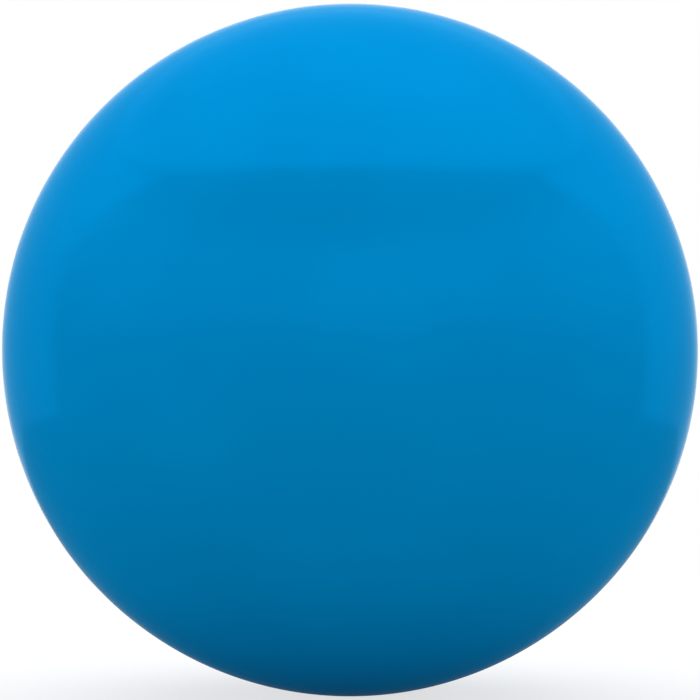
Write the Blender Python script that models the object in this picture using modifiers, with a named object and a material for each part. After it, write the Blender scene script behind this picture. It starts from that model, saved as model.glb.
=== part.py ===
"""A friction ball for opening and closing screwed watch case backs.

It is a small air-filled rubber ball. A tacky cover, moulded in two halves, is bonded round a
butyl bladder. A needle valve sits at the rear pole, closed by a push-in plug.

Lengths are in metres. The ball's centre is the origin and the valve looks along +Y. The cover
halves meet on the plane Y = 0, and the plug pulls straight out along +Y.
"""

import math

import bmesh
import bpy
from mathutils import Vector

# The ball and its layers, from the outside in.
BALL_DIAMETER = 0.065
COVER_WALL = 0.0024
BLADDER_WALL = 0.0009
BOND_GAP = 0.0003  # the cement line between two bonded faces

# The joint between the cover halves, and the strip that backs it.
SEAM_STRIP_WIDTH = 0.009
SEAM_STRIP_THICKNESS = 0.0008
PARTING_EDGE_RADIUS = 0.00025  # rounds over the outer edge of each half's joint face

# The plug: a flat head with a bar to pull it by, on a ribbed stem.
PLUG_HEAD_DIAMETER = 0.0076
PLUG_HEAD_THICKNESS = 0.0012
PLUG_HEAD_EDGE_RADIUS = 0.0003
PLUG_STEM_DIAMETER = 0.0028
PLUG_STEM_LENGTH = 0.0058
PLUG_RIB_HEIGHT = 0.00025
PLUG_RIB_WIDTH = 0.0007
PLUG_RIB_CREST_WIDTH = 0.00035
PLUG_RIB_COUNT = 3
PULL_BAR_LENGTH = 0.0042
PULL_BAR_WIDTH = 0.0011
PULL_BAR_HEIGHT = 0.00045
PULL_BAR_ROOT = 0.0004  # how deep the bar is rooted in the head
PULL_BAR_EDGE_RADIUS = 0.0002

# The valve: the housing that the plug seats in, its flange, and the self-sealing core.
PLUG_CLEARANCE = 0.00015  # between the ribs and the bore
HEAD_CLEARANCE = 0.00025  # round the head, in its seat
RIM_WIDTH = 0.0014
RIM_INSET = 0.0001  # how far the rim lies under the ball's surface
RIM_EDGE_RADIUS = 0.0003
FLANGE_WIDTH = 0.004
FLANGE_THICKNESS = 0.0012
PATCH_WIDTH = 0.0075
PATCH_THICKNESS = 0.0007
CORE_DIAMETER = 0.0054
CORE_LENGTH = 0.006
NEEDLE_GUIDE_DIAMETER = 0.0022
NEEDLE_GUIDE_DEPTH = 0.0013
TIP_GAP = 0.0006  # between the plug's tip and the core
BOSS_WALL = 0.0016
BOSS_EDGE_RADIUS = 0.0005
LIP_WIDTH = 0.0014
LIP_THICKNESS = 0.001

# How finely round surfaces are cut into facets.
SHELL_SEGMENTS = 48
SHELL_ARC_STEP = math.radians(9)
VALVE_SEGMENTS = 24
NOSE_ARC_STEP = math.radians(15)
FILLET_STEPS = 3
EDGE_BEVEL_SEGMENTS = 2
AXIS_MERGE = 0.000001
SHARP_EDGE_ANGLE = math.radians(35)  # edges that turn by more than this are shaded sharp

# Colour (linear RGB) and roughness of each material. None of them is a metal.
TACKY_RUBBER = ((0.0, 0.27, 0.62), 0.3)
GUM_RUBBER = ((0.42, 0.23, 0.09), 0.6)
BUTYL_RUBBER = ((0.02, 0.02, 0.022), 0.5)
VALVE_RUBBER = ((0.012, 0.05, 0.12), 0.45)
CORE_RUBBER = ((0.5, 0.36, 0.2), 0.55)
PLUG_VINYL = ((0.55, 0.55, 0.54), 0.35)
NOT_METALLIC = 0.0

# Radii of the layers, and half the width of the recess that takes the seam strip.
BALL_RADIUS = BALL_DIAMETER / 2
COVER_INNER_RADIUS = BALL_RADIUS - COVER_WALL
RECESS_RADIUS = COVER_INNER_RADIUS + SEAM_STRIP_THICKNESS + BOND_GAP
RECESS_HALF_WIDTH = SEAM_STRIP_WIDTH / 2 + BOND_GAP
BLADDER_RADIUS = COVER_INNER_RADIUS - BOND_GAP
BLADDER_INNER_RADIUS = BLADDER_RADIUS - BLADDER_WALL
PATCH_RADIUS = BLADDER_INNER_RADIUS - BOND_GAP
PATCH_INNER_RADIUS = PATCH_RADIUS - PATCH_THICKNESS
FLANGE_RADIUS = PATCH_INNER_RADIUS - BOND_GAP
FLANGE_INNER_RADIUS = FLANGE_RADIUS - FLANGE_THICKNESS

# Radii of the valve's round pieces.
HEAD_RADIUS = PLUG_HEAD_DIAMETER / 2
SEAT_RADIUS = HEAD_RADIUS + HEAD_CLEARANCE
NECK_RADIUS = SEAT_RADIUS + RIM_WIDTH
NECK_HOLE_RADIUS = NECK_RADIUS + BOND_GAP
STEM_RADIUS = PLUG_STEM_DIAMETER / 2
RIB_RADIUS = STEM_RADIUS + PLUG_RIB_HEIGHT
BORE_RADIUS = RIB_RADIUS + PLUG_CLEARANCE
CORE_RADIUS = CORE_DIAMETER / 2
POCKET_RADIUS = CORE_RADIUS + BOND_GAP
BOSS_RADIUS = POCKET_RADIUS + BOSS_WALL
LIP_RADIUS = POCKET_RADIUS - LIP_WIDTH

# Heights along the valve's axis, from the ball's centre.
RIM_HEIGHT = math.sqrt(BALL_RADIUS**2 - NECK_RADIUS**2) - RIM_INSET
HEAD_BASE_HEIGHT = RIM_HEIGHT - PLUG_HEAD_THICKNESS
SEAT_HEIGHT = HEAD_BASE_HEIGHT - BOND_GAP
TIP_HEIGHT = HEAD_BASE_HEIGHT - PLUG_STEM_LENGTH
CORE_TOP_HEIGHT = TIP_HEIGHT - TIP_GAP
POCKET_TOP_HEIGHT = CORE_TOP_HEIGHT + BOND_GAP
CORE_BASE_HEIGHT = CORE_TOP_HEIGHT - CORE_LENGTH
POCKET_BASE_HEIGHT = CORE_BASE_HEIGHT - BOND_GAP
BOSS_END_HEIGHT = POCKET_BASE_HEIGHT - LIP_THICKNESS

QUARTER_TURN = math.pi / 2
ROUNDING = 0.000001  # keeps an arc of a whole number of steps from gaining one


def clear_scene():
    """Removes every object, so that the script starts from nothing."""
    for old in list(bpy.data.objects):
        bpy.data.objects.remove(old)


def new_collection(name):
    collection = bpy.data.collections.new(name)
    bpy.context.scene.collection.children.link(collection)
    return collection


def make_material(name, finish):
    color, roughness = finish
    material = bpy.data.materials.new(name)
    material.use_nodes = True
    shader = material.node_tree.nodes["Principled BSDF"]
    shader.inputs["Base Color"].default_value = (*color, 1.0)
    shader.inputs["Roughness"].default_value = roughness
    shader.inputs["Metallic"].default_value = NOT_METALLIC
    return material


def round_shading():
    """A node group that shades faces smooth and keeps the edges over the sharp angle sharp."""
    group = bpy.data.node_groups.new("round_shading", "GeometryNodeTree")
    group.is_modifier = True
    group.interface.new_socket("Geometry", in_out="INPUT", socket_type="NodeSocketGeometry")
    group.interface.new_socket("Geometry", in_out="OUTPUT", socket_type="NodeSocketGeometry")
    shape = group.nodes.new("NodeGroupInput")
    result = group.nodes.new("NodeGroupOutput")
    smooth_faces = group.nodes.new("GeometryNodeSetShadeSmooth")
    edge_angle = group.nodes.new("GeometryNodeInputMeshEdgeAngle")
    over = group.nodes.new("FunctionNodeCompare")
    over.operation = "GREATER_THAN"
    over.inputs["B"].default_value = SHARP_EDGE_ANGLE
    sharp_edges = group.nodes.new("GeometryNodeSetShadeSmooth")
    sharp_edges.domain = "EDGE"
    sharp_edges.inputs["Shade Smooth"].default_value = False
    link = group.links.new
    link(shape.outputs["Geometry"], smooth_faces.inputs["Geometry"])
    link(smooth_faces.outputs["Geometry"], sharp_edges.inputs["Geometry"])
    link(edge_angle.outputs["Unsigned Angle"], over.inputs["A"])
    link(over.outputs["Result"], sharp_edges.inputs["Selection"])
    link(sharp_edges.outputs["Geometry"], result.inputs["Geometry"])
    return group


def arc(radius, start, end, centre_height=0.0, step=SHELL_ARC_STEP):
    """Points (across, height) on a circle about the axis, between two elevation angles."""
    steps = max(1, math.ceil(abs(end - start) / step - ROUNDING))
    angles = [start + (end - start) * i / steps for i in range(steps + 1)]
    return [(radius * math.cos(a), centre_height + radius * math.sin(a)) for a in angles]


def fillet(before, corner, after, radius):
    """Points of the arc that rounds off a corner between two straight sides of an outline."""
    corner = Vector(corner)
    back = (Vector(before) - corner).normalized()
    ahead = (Vector(after) - corner).normalized()
    half_angle = back.angle(ahead) / 2
    start = corner + back * radius / math.tan(half_angle)
    centre = corner + (back + ahead).normalized() * radius / math.sin(half_angle)
    sweep = math.pi - 2 * half_angle
    arm = start - centre
    if back.cross(ahead) > 0:
        sweep = -sweep
    points = []
    for i in range(FILLET_STEPS + 1):
        turn = sweep * i / FILLET_STEPS
        x = arm.x * math.cos(turn) - arm.y * math.sin(turn)
        y = arm.x * math.sin(turn) + arm.y * math.cos(turn)
        points.append((centre.x + x, centre.y + y))
    return points


def at_radius_across(radius, across):
    """The elevation angle at which a sphere is this far across from its axis."""
    return math.acos(across / radius)


def at_radius_height(radius, height):
    """The elevation angle at which a sphere is this far above its equator."""
    return math.asin(height / radius)


def turned(name, outline, segments, material, collection, height=0.0, ring=True):
    """A piece turned about the valve's axis from an outline of (across, height) points.

    The outline runs down the outer side. A ring's outline closes on itself; any other outline
    starts and ends on the axis. The heights are counted from the given height on the axis.
    """
    mesh = bpy.data.meshes.new(name)
    count = len(outline)
    edges = [(i, i + 1) for i in range(count - 1)]
    if ring:
        edges.append((count - 1, 0))
    mesh.from_pydata([(across, 0.0, up - height) for across, up in outline], edges, [])
    piece = bpy.data.objects.new(name, mesh)
    collection.objects.link(piece)
    piece.data.materials.append(material)
    piece.location = (0.0, height, 0.0)
    piece.rotation_euler = (-QUARTER_TURN, 0.0, 0.0)
    turn = piece.modifiers.new("turn", "SCREW")
    turn.axis = "Z"
    turn.steps = segments
    turn.render_steps = segments
    turn.use_merge_vertices = True
    turn.merge_threshold = AXIS_MERGE
    turn.use_smooth_shade = False
    return piece


def joint_face(side):
    """The outline of a cover half's joint face, from the ball's surface inwards.

    The outer edge is rounded over, and the inner edge is cut back for the seam strip. Side is 1
    for the half with the valve and -1 for the other.
    """
    face = side * BOND_GAP / 2
    edge = (math.sqrt(BALL_RADIUS**2 - face**2), face)
    beside_edge = (edge[0], face + side * COVER_WALL)
    recess_edge = (math.sqrt(RECESS_RADIUS**2 - face**2), face)
    rounded_edge = fillet(beside_edge, edge, recess_edge, PARTING_EDGE_RADIUS)
    recess = arc(
        RECESS_RADIUS,
        at_radius_height(RECESS_RADIUS, face),
        at_radius_height(RECESS_RADIUS, side * RECESS_HALF_WIDTH),
    )
    return rounded_edge + recess


def build_cover_rear(material, collection):
    """The cover half with the valve's hole."""
    seam = joint_face(1)
    outer_end = at_radius_height(BALL_RADIUS, seam[0][1])
    outer = arc(BALL_RADIUS, at_radius_across(BALL_RADIUS, NECK_HOLE_RADIUS), outer_end)
    inner_start = at_radius_height(COVER_INNER_RADIUS, RECESS_HALF_WIDTH)
    inner_end = at_radius_across(COVER_INNER_RADIUS, NECK_HOLE_RADIUS)
    inner = arc(COVER_INNER_RADIUS, inner_start, inner_end)
    outline = outer[:-1] + seam + inner
    return turned("cover_rear", outline, SHELL_SEGMENTS, material, collection)


def build_cover_front(material, collection):
    """The cover half that is pressed on the watch, with no hole."""
    seam = joint_face(-1)
    inner_end = at_radius_height(COVER_INNER_RADIUS, -RECESS_HALF_WIDTH)
    inner = arc(COVER_INNER_RADIUS, -QUARTER_TURN, inner_end)
    outer = arc(BALL_RADIUS, at_radius_height(BALL_RADIUS, seam[0][1]), -QUARTER_TURN)
    outline = inner + seam[::-1] + outer[1:]
    return turned("cover_front", on_axis(outline), SHELL_SEGMENTS, material, collection, ring=False)


def on_axis(outline):
    """The outline with its first and last points set exactly on the axis."""
    return [(0.0, outline[0][1]), *outline[1:-1], (0.0, outline[-1][1])]


def build_seam_strip(material, collection):
    """The gum strip that lies in both halves' recess and backs their joint."""
    outer_radius = COVER_INNER_RADIUS + SEAM_STRIP_THICKNESS
    outer_angle = at_radius_height(outer_radius, SEAM_STRIP_WIDTH / 2)
    inner_angle = at_radius_height(COVER_INNER_RADIUS, SEAM_STRIP_WIDTH / 2)
    outline = arc(outer_radius, outer_angle, -outer_angle)
    outline += arc(COVER_INNER_RADIUS, -inner_angle, inner_angle)
    return turned("seam_strip", outline, SHELL_SEGMENTS, material, collection)


def build_bladder(material, collection):
    """The airtight bladder, open only where the valve passes through it."""
    inner_end = at_radius_across(BLADDER_INNER_RADIUS, NECK_HOLE_RADIUS)
    outer_start = at_radius_across(BLADDER_RADIUS, NECK_HOLE_RADIUS)
    outline = arc(BLADDER_INNER_RADIUS, -QUARTER_TURN, inner_end)
    outline += arc(BLADDER_RADIUS, outer_start, -QUARTER_TURN)
    return turned("bladder", on_axis(outline), SHELL_SEGMENTS, material, collection, ring=False)


def build_bladder_patch(material, collection):
    """The disc that thickens the bladder round the valve."""
    edge_across = NECK_HOLE_RADIUS + PATCH_WIDTH
    edge_angle = at_radius_across(PATCH_RADIUS, edge_across)
    outline = arc(PATCH_RADIUS, at_radius_across(PATCH_RADIUS, NECK_HOLE_RADIUS), edge_angle)
    outline += arc(
        PATCH_INNER_RADIUS, edge_angle, at_radius_across(PATCH_INNER_RADIUS, NECK_HOLE_RADIUS)
    )
    return turned("bladder_patch", outline, SHELL_SEGMENTS, material, collection)


def build_valve_housing(material, collection):
    """The moulded valve body: rim, neck, flange, and the boss that holds the core."""
    rim_inner = (SEAT_RADIUS, RIM_HEIGHT)
    rim_outer = (NECK_RADIUS, RIM_HEIGHT)
    flange_top = math.sqrt(FLANGE_RADIUS**2 - NECK_RADIUS**2)
    flange_edge = at_radius_across(FLANGE_RADIUS, NECK_RADIUS + FLANGE_WIDTH)
    boss_end = (BOSS_RADIUS, BOSS_END_HEIGHT)
    lip_end = (LIP_RADIUS, BOSS_END_HEIGHT)
    outline = [rim_inner]
    outline += fillet(rim_inner, rim_outer, (NECK_RADIUS, flange_top), RIM_EDGE_RADIUS)
    outline += arc(FLANGE_RADIUS, at_radius_across(FLANGE_RADIUS, NECK_RADIUS), flange_edge)
    outline += arc(
        FLANGE_INNER_RADIUS, flange_edge, at_radius_across(FLANGE_INNER_RADIUS, BOSS_RADIUS)
    )
    outline += fillet(outline[-1], boss_end, lip_end, BOSS_EDGE_RADIUS)
    outline += [
        lip_end,
        (LIP_RADIUS, POCKET_BASE_HEIGHT),
        (POCKET_RADIUS, POCKET_BASE_HEIGHT),
        (POCKET_RADIUS, POCKET_TOP_HEIGHT),
        (BORE_RADIUS, POCKET_TOP_HEIGHT),
        (BORE_RADIUS, SEAT_HEIGHT),
        (SEAT_RADIUS, SEAT_HEIGHT),
    ]
    return turned("valve_housing", outline, VALVE_SEGMENTS, material, collection)


def build_valve_core(material, collection):
    """The soft self-sealing core, with a funnel at each end that leads a needle to its slit."""
    guide_radius = NEEDLE_GUIDE_DIAMETER / 2
    outline = [
        (0.0, CORE_TOP_HEIGHT - NEEDLE_GUIDE_DEPTH),
        (guide_radius, CORE_TOP_HEIGHT),
        (CORE_RADIUS, CORE_TOP_HEIGHT),
        (CORE_RADIUS, CORE_BASE_HEIGHT),
        (guide_radius, CORE_BASE_HEIGHT),
        (0.0, CORE_BASE_HEIGHT + NEEDLE_GUIDE_DEPTH),
    ]
    return turned("valve_core", outline, VALVE_SEGMENTS, material, collection, ring=False)


def stem_outline():
    """The plug's stem, from under the head to the tip: ribs along a shaft with a round nose."""
    pitch = (PLUG_STEM_LENGTH - STEM_RADIUS) / PLUG_RIB_COUNT
    outline = [(STEM_RADIUS, HEAD_BASE_HEIGHT)]
    for i in range(PLUG_RIB_COUNT):
        middle = HEAD_BASE_HEIGHT - pitch / 2 - pitch * i
        outline += [
            (STEM_RADIUS, middle + PLUG_RIB_WIDTH / 2),
            (RIB_RADIUS, middle + PLUG_RIB_CREST_WIDTH / 2),
            (RIB_RADIUS, middle - PLUG_RIB_CREST_WIDTH / 2),
            (STEM_RADIUS, middle - PLUG_RIB_WIDTH / 2),
        ]
    nose_centre_height = TIP_HEIGHT + STEM_RADIUS
    return outline + arc(STEM_RADIUS, 0.0, -QUARTER_TURN, nose_centre_height, NOSE_ARC_STEP)


def build_pull_bar(material, collection):
    """The low bar across the plug's head, as a rounded block rooted in the head."""
    mesh = bpy.data.meshes.new("pull_bar_form")
    block = bmesh.new()
    bmesh.ops.create_cube(block, size=1.0)
    size = Vector((PULL_BAR_LENGTH, PULL_BAR_HEIGHT + PULL_BAR_ROOT, PULL_BAR_WIDTH))
    bmesh.ops.scale(block, vec=size, verts=block.verts)
    block.to_mesh(mesh)
    block.free()
    bar = bpy.data.objects.new("pull_bar_form", mesh)
    collection.objects.link(bar)
    bar.data.materials.append(material)
    bar.location = (0.0, RIM_HEIGHT - PULL_BAR_ROOT + size.y / 2, 0.0)
    bar.hide_render = True
    bar.display_type = "WIRE"
    rounding = bar.modifiers.new("rounding", "BEVEL")
    rounding.width = PULL_BAR_EDGE_RADIUS
    rounding.segments = EDGE_BEVEL_SEGMENTS
    return bar


def build_valve_plug(material, collection, forms):
    """The push-in plug. Its origin is on the slide's axis, at the face it seats by."""
    head_top = (HEAD_RADIUS, RIM_HEIGHT)
    head_bottom = (HEAD_RADIUS, HEAD_BASE_HEIGHT)
    top_centre = (0.0, RIM_HEIGHT)
    stem = stem_outline()
    outline = [top_centre]
    outline += fillet(top_centre, head_top, head_bottom, PLUG_HEAD_EDGE_RADIUS)
    outline += fillet(head_top, head_bottom, stem[0], PLUG_HEAD_EDGE_RADIUS)
    outline += stem
    plug = turned(
        "valve_plug",
        on_axis(outline),
        VALVE_SEGMENTS,
        material,
        collection,
        height=HEAD_BASE_HEIGHT,
        ring=False,
    )
    joined = plug.modifiers.new("pull_bar", "BOOLEAN")
    joined.operation = "UNION"
    joined.object = build_pull_bar(material, forms)
    return plug


def build_ball():
    clear_scene()
    ball = new_collection("case_opening_friction_ball")
    forms = new_collection("forms")
    tacky_rubber = make_material("tacky_rubber", TACKY_RUBBER)
    butyl_rubber = make_material("butyl_rubber", BUTYL_RUBBER)
    build_cover_front(tacky_rubber, ball)
    build_cover_rear(tacky_rubber, ball)
    build_seam_strip(make_material("gum_rubber", GUM_RUBBER), ball)
    build_bladder(butyl_rubber, ball)
    build_bladder_patch(butyl_rubber, ball)
    build_valve_housing(make_material("valve_rubber", VALVE_RUBBER), ball)
    build_valve_core(make_material("core_rubber", CORE_RUBBER), ball)
    build_valve_plug(make_material("plug_vinyl", PLUG_VINYL), ball, forms)
    shading = round_shading()
    for piece in ball.objects:
        piece.modifiers.new("shading", "NODES").node_group = shading


build_ball()
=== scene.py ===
"""The finished surfaces, materials and studio of a case opening friction ball.

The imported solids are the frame, in metres. The ball's centre is the origin, the valve looks along
+Y, and the two halves of the cover meet on the plane Y = 0. Every piece here is a fine surface of
the solid that it replaces, turned from an outline of (across, height) points, where across is the
distance from the valve's axis and height is the distance along it.
"""

import math

import bpy
import numpy as np
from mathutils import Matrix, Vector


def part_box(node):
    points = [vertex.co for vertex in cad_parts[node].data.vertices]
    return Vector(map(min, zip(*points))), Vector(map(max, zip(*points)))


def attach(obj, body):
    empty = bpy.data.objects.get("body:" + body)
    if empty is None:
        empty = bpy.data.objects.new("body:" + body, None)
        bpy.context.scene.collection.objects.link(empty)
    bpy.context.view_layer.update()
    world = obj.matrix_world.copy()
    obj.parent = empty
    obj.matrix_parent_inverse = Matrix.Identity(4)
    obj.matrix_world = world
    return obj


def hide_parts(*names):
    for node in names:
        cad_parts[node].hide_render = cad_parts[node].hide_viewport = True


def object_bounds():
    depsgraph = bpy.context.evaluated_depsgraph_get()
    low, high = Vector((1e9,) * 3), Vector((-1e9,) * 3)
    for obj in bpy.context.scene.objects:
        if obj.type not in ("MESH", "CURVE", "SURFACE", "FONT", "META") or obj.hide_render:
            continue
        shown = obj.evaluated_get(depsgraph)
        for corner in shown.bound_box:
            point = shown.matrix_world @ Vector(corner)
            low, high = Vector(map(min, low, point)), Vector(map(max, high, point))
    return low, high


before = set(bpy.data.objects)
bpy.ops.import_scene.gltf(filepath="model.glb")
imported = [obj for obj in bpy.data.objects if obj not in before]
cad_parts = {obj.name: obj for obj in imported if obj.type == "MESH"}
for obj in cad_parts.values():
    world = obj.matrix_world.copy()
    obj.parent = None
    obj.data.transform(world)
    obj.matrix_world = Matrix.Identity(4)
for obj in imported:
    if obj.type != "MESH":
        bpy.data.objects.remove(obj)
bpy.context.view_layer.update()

MM = 0.001
TURN = 2 * math.pi
QUARTER = math.pi / 2

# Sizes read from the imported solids.
BALL_RADIUS = -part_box("cover_front")[0].y
BLADDER_RADIUS = -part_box("bladder")[0].y
STRIP_HALF_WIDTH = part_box("seam_strip")[1].y
STRIP_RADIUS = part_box("seam_strip")[1].x
PATCH_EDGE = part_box("bladder_patch")[1].x
FLANGE_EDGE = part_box("valve_housing")[1].x
RIM_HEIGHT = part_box("valve_housing")[1].y
BOSS_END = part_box("valve_housing")[0].y
CORE_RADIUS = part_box("valve_core")[1].x
CORE_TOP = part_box("valve_core")[1].y
CORE_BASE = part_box("valve_core")[0].y
HEAD_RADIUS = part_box("valve_plug")[1].x
BAR_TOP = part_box("valve_plug")[1].y
TIP_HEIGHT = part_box("valve_plug")[0].y

# The layers' walls, as the solids have them.
BOND_GAP = 0.3 * MM
BLADDER_WALL = 0.9 * MM
PATCH_WALL = 0.7 * MM
FLANGE_WALL = 1.2 * MM
COVER_INNER = BLADDER_RADIUS + BOND_GAP
RECESS_RADIUS = STRIP_RADIUS + BOND_GAP
RECESS_HALF_WIDTH = STRIP_HALF_WIDTH + BOND_GAP
BLADDER_INNER = BLADDER_RADIUS - BLADDER_WALL
PATCH_RADIUS = BLADDER_INNER - BOND_GAP
PATCH_INNER = PATCH_RADIUS - PATCH_WALL
FLANGE_RADIUS = PATCH_INNER - BOND_GAP
FLANGE_INNER = FLANGE_RADIUS - FLANGE_WALL

# The valve's round sizes, as the solids have them.
SEAT_RADIUS = HEAD_RADIUS + 0.25 * MM
NECK_RADIUS = SEAT_RADIUS + 1.4 * MM
BORE_RADIUS = 1.8 * MM
POCKET_RADIUS = CORE_RADIUS + BOND_GAP
BOSS_RADIUS = POCKET_RADIUS + 1.6 * MM
LIP_RADIUS = POCKET_RADIUS - 1.4 * MM
HEAD_THICKNESS = 1.2 * MM
HEAD_BASE = RIM_HEIGHT - HEAD_THICKNESS
SEAT_HEIGHT = HEAD_BASE - BOND_GAP
POCKET_TOP = CORE_TOP + BOND_GAP
POCKET_BASE = CORE_BASE - BOND_GAP
STEM_RADIUS = 1.4 * MM
RIB_HEIGHT = 0.25 * MM
RIB_WIDTH = 0.9 * MM
RIB_COUNT = 3
BAR_LENGTH = 4.2 * MM
BAR_WIDTH = 1.1 * MM

# What the fine surfaces add.
FLATTENING = 0.0063  # how much lower than wide the filled ball is
OUT_OF_ROUND = 0.05 * MM
VALVE_FLAT_START = 8 * MM  # inside this distance from the axis the ball keeps its true shape
VALVE_FLAT_END = 15 * MM
JOINT_HALF_GAP = 0.002 * MM
JOINT_EDGE_RADIUS = 0.16 * MM
BUFFED_DIP = 0.035 * MM
BUFFED_WIDTH = 1.1 * MM
NECK_FIT = 0.06 * MM
HOLE_EDGE_RADIUS = 0.3 * MM
SHELL_SEGMENTS = 288
VALVE_SEGMENTS = 160
PLUG_SEGMENTS = 224
COARSE_STEP = math.radians(1.25)
INNER_STEP = math.radians(2.5)
ROUND_STEPS = 5
SHARP_ANGLE = math.radians(38)


# ---------------------------------------------------------------- outlines and grids


def arc(radius, start, end, step):
    """A circle about the ball's centre: (radius cos e, radius sin e) for e from start to end."""
    count = max(2, math.ceil(abs(end - start) / step) + 1)
    e = np.linspace(start, end, count)
    return np.column_stack([radius * np.cos(e), radius * np.sin(e)])


def on_sphere_across(radius, across):
    """The point of a sphere's outline that is this far across."""
    return (across, math.sqrt(radius**2 - across**2))


def on_sphere_height(radius, height):
    """The point of a sphere's outline that is this high."""
    return (math.sqrt(radius**2 - height**2), height)


def elevation_across(radius, across):
    """How far over the equator, as an angle, a sphere's outline is this far across."""
    return math.acos(across / radius)


def elevation_height(radius, height):
    """How far over the equator, as an angle, a sphere's outline is this high."""
    return math.asin(height / radius)


def elevation_at(point):
    """How far over the equator, as an angle, a point of an outline lies."""
    return math.atan2(point[1], point[0])


def rounded(before, corner, after, radius):
    """The arc that rounds a corner: it touches both sides at radius / tan(half the angle)."""
    corner = np.array(corner)
    back = (np.array(before) - corner) / np.linalg.norm(np.array(before) - corner)
    ahead = (np.array(after) - corner) / np.linalg.norm(np.array(after) - corner)
    half = math.acos(np.clip(back @ ahead, -1, 1)) / 2
    middle = (back + ahead) / np.linalg.norm(back + ahead)
    centre = corner + middle * radius / math.sin(half)
    start = corner + back * radius / math.tan(half) - centre
    sweep = math.pi - 2 * half
    if back[0] * ahead[1] - back[1] * ahead[0] > 0:
        sweep = -sweep
    a = np.linspace(0, sweep, ROUND_STEPS)
    x = centre[0] + start[0] * np.cos(a) - start[1] * np.sin(a)
    y = centre[1] + start[0] * np.sin(a) + start[1] * np.cos(a)
    return np.column_stack([x, y])


def rounded_outline(corners):
    """An outline through (across, height, radius) corners, each rounded by its radius."""
    points = []
    count = len(corners)
    for i, (across, height, radius) in enumerate(corners):
        if radius == 0:
            points.append(np.array([[across, height]]))
            continue
        before = corners[i - 1][:2]
        after = corners[(i + 1) % count][:2]
        points.append(rounded(before, (across, height), after, radius))
    return np.vstack(points)


def closed_at_axis(outline):
    """The outline with its first and last points put exactly on the valve's axis."""
    outline[[0, -1], 0] = 0.0
    return outline


def turned(outline, segments):
    """The outline carried round the valve's axis: (across cos t, height, across sin t)."""
    t = np.arange(segments) * (TURN / segments)
    across = outline[:, :1]
    height = np.repeat(outline[:, 1:2], segments, axis=1)
    return np.stack([across * np.cos(t), height, across * np.sin(t)], axis=-1)


def ease(low, high, value):
    """0 below low, 1 above high, and s s (3 - 2 s) between them."""
    s = np.clip((value - low) / (high - low), 0, 1)
    return s * s * (3 - 2 * s)


def grid_faces(rows, segments, ring):
    """Quads between neighbouring rows. A ring's last row meets its first."""
    j = np.arange(segments)
    k = (j + 1) % segments
    i = np.arange(rows if ring else rows - 1)[:, None]
    n = (i + 1) % rows
    corners = [i * segments + j, i * segments + k, n * segments + k, n * segments + j]
    return np.stack(corners, axis=-1).reshape(-1, 4)


def enclosed_volume(points, quads):
    """Six times the volume inside: the sum of a . (b x c) over the halves of every quad."""
    a, b, c, d = (points[quads[:, i]] for i in range(4))
    return (a * np.cross(b, c)).sum() + (a * np.cross(c, d)).sum()


def make_piece(name, grid, ring, body, node):
    """A closed, smooth piece from a grid of points, in place of a CAD node, on its body.

    A piece that isn't a ring starts and ends in a point on the axis, which its first and last
    rows shrink to. Those rows become one vertex each, joined to the next row by triangles.
    """
    rows, segments = grid.shape[:2]
    if ring:
        points = grid.reshape(-1, 3)
        quads = grid_faces(rows, segments, True)
        fans = np.zeros((0, 3), int)
    else:
        inner = grid[1:-1]
        points = np.vstack([inner.reshape(-1, 3), grid[0, 0], grid[-1, 0]])
        quads = grid_faces(rows - 2, segments, False)
        j = np.arange(segments)
        k = (j + 1) % segments
        first, last = len(points) - 2, len(points) - 1
        below = (rows - 3) * segments
        top = np.column_stack([np.full(segments, first), k, j])
        bottom = np.column_stack([np.full(segments, last), below + j, below + k])
        fans = np.vstack([top, bottom])
    if enclosed_volume(points, quads) < 0:
        quads = quads[:, ::-1]
        fans = fans[:, ::-1]
    mesh = bpy.data.meshes.new(name)
    mesh.from_pydata(points.tolist(), [], quads.tolist() + fans.tolist())
    mesh.validate()
    mesh.shade_smooth()
    mesh.set_sharp_from_angle(angle=SHARP_ANGLE)
    piece = bpy.data.objects.new(name, mesh)
    bpy.context.scene.collection.objects.link(piece)
    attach(piece, body)
    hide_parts(node)


def filled(grid):
    """The small departures of a filled ball from a true sphere.

    Along its radius a point moves by OUT_OF_ROUND times the mean of three slow waves over its
    direction (x, y, z): sin(3x + 2y + 1), sin(4y - 3z) and sin(5z + 2x + 2). Its z shrinks by
    FLATTENING. Both fade out round the valve, whose moulding keeps its own shape.
    """
    radius = np.linalg.norm(grid, axis=-1, keepdims=True)
    x, y, z = np.moveaxis(grid / radius, -1, 0)
    across = np.hypot(grid[..., 0], grid[..., 2])
    fade = np.where(y > 0, ease(VALVE_FLAT_START, VALVE_FLAT_END, across), 1.0)[..., None]
    waves = np.sin(3 * x + 2 * y + 1) + np.sin(4 * y - 3 * z) + np.sin(5 * z + 2 * x + 2)
    moved = grid * (1 + fade * OUT_OF_ROUND * waves[..., None] / 3 / radius)
    moved[..., 2:] *= 1 - fade * FLATTENING
    return moved


# ---------------------------------------------------------------- the ball's pieces


def cover_outside(start, end):
    """The outer skin's outline from one elevation to another.

    Its radius is the ball's, less a dip by the joint where the flash was buffed away:
    BUFFED_DIP exp(-(distance from the joint / BUFFED_WIDTH)^2). Rows crowd together there.
    """
    fine_end = 4 * BUFFED_WIDTH / BALL_RADIUS
    near = np.linspace(start, fine_end, 24)
    far = np.linspace(fine_end, end, math.ceil((end - fine_end) / COARSE_STEP) + 1)
    e = np.concatenate([near, far[1:]])
    radius = BALL_RADIUS - BUFFED_DIP * np.exp(-((BALL_RADIUS * e / BUFFED_WIDTH) ** 2))
    return np.column_stack([radius * np.cos(e), radius * np.sin(e)])


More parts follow.
